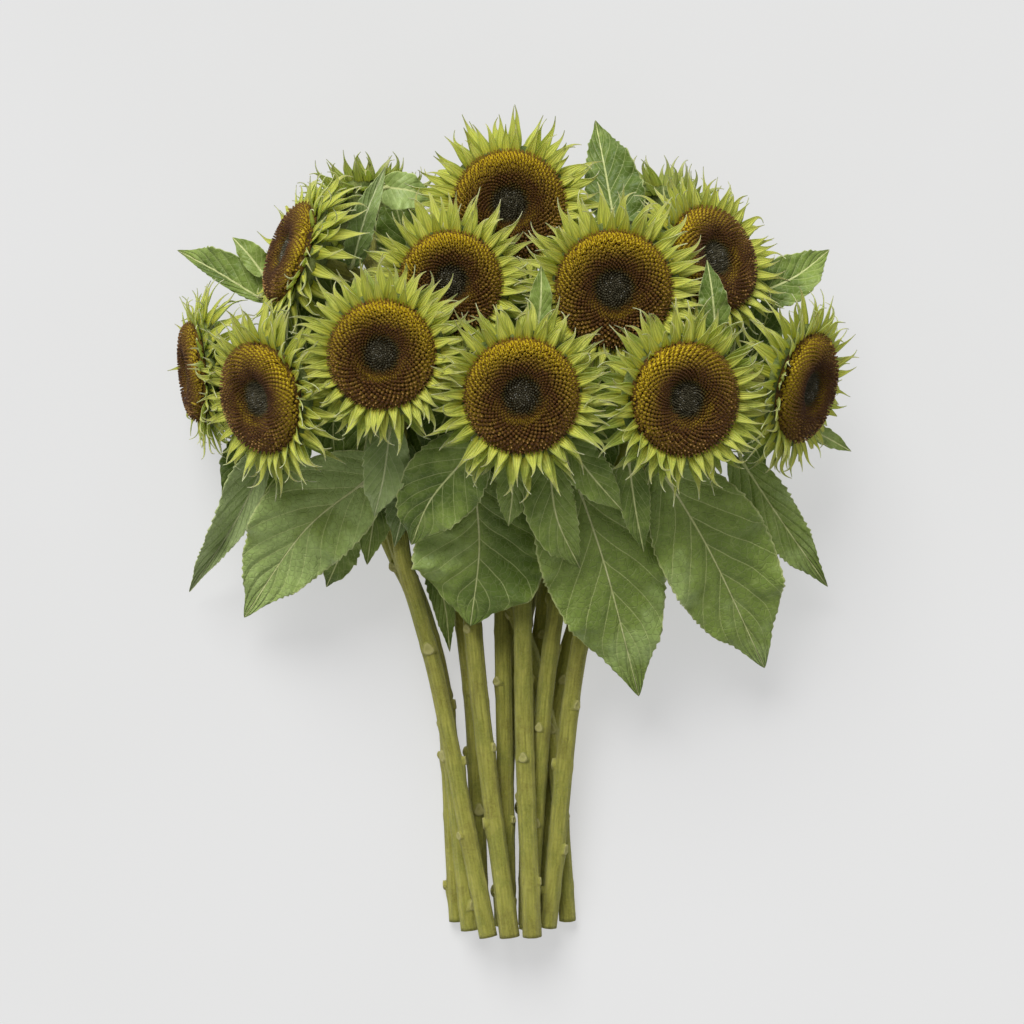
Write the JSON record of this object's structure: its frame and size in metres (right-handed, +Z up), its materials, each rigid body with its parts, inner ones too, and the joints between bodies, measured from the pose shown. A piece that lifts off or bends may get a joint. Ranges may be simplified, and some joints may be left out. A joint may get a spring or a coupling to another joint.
{
  "type": "bunch of sunflowers",
  "caption": "Bunch of cut sunflowers without ray petals, lying on a table: green stems and leaves under dark domed heads ringed with pointed bracts.",
  "frame": {"origin": "on the table, under the middle of the lying bunch's bounding box", "axes": "+Z up from the table, +Y from the cut stem ends towards the heads, +X to the right when it is seen from above with the heads at the top"},
  "size_m": [0.592, 0.72, 0.235],
  "materials": {
    "stem": "matt, ribbed and hairy green stem",
    "disc": "velvety dark brown florets",
    "calyx": "matt, hairy pale green bracts",
    "leaf": "matt, veined green blade"
  },
  "bodies": {
    "root": {"stem_far_left": "stem", "stem_left": "stem", "stem_upper_left": "stem", "stem_back_left": "stem", "stem_front_left": "stem", "stem_inner_left": "stem", "stem_front_middle": "stem", "stem_top": "stem", "stem_inner_right": "stem", "stem_front_right": "stem", "stem_upper_right": "stem", "stem_far_right": "stem", "stem_back_right": "stem", "disc_far_left": "disc", "disc_left": "disc", "disc_upper_left": "disc", "disc_back_left": "disc", "disc_front_left": "disc", "disc_inner_left": "disc", "disc_front_middle": "disc", "disc_top": "disc", "disc_inner_right": "disc", "disc_front_right": "disc", "disc_upper_right": "disc", "disc_far_right": "disc", "disc_back_right": "disc", "leaf_upper_left": "leaf", "leaf_hanging_left": "leaf", "leaf_big_left": "leaf", "leaf_front_left": "leaf", "leaf_middle_left": "leaf", "leaf_middle": "leaf", "leaf_small_middle": "leaf", "leaf_middle_right": "leaf", "leaf_front_right": "leaf", "leaf_big_front": "leaf", "leaf_narrow_right": "leaf", "leaf_big_right": "leaf", "leaf_low_right": "leaf", "leaf_right_tip": "leaf", "leaf_upper_right": "leaf", "leaf_top": "leaf", "leaf_folded": "leaf", "leaf_top_left": "leaf", "leaf_tip_middle": "leaf", "leaf_tip_right": "leaf", "leaf_behind_stems": "leaf", "calyx_far_left": "calyx", "calyx_left": "calyx", "calyx_upper_left": "calyx", "calyx_back_left": "calyx", "calyx_front_left": "calyx", "calyx_inner_left": "calyx", "calyx_front_middle": "calyx", "calyx_top": "calyx", "calyx_inner_right": "calyx", "calyx_front_right": "calyx", "calyx_upper_right": "calyx", "calyx_far_right": "calyx", "calyx_back_right": "calyx"}
  },
  "joints": []
}
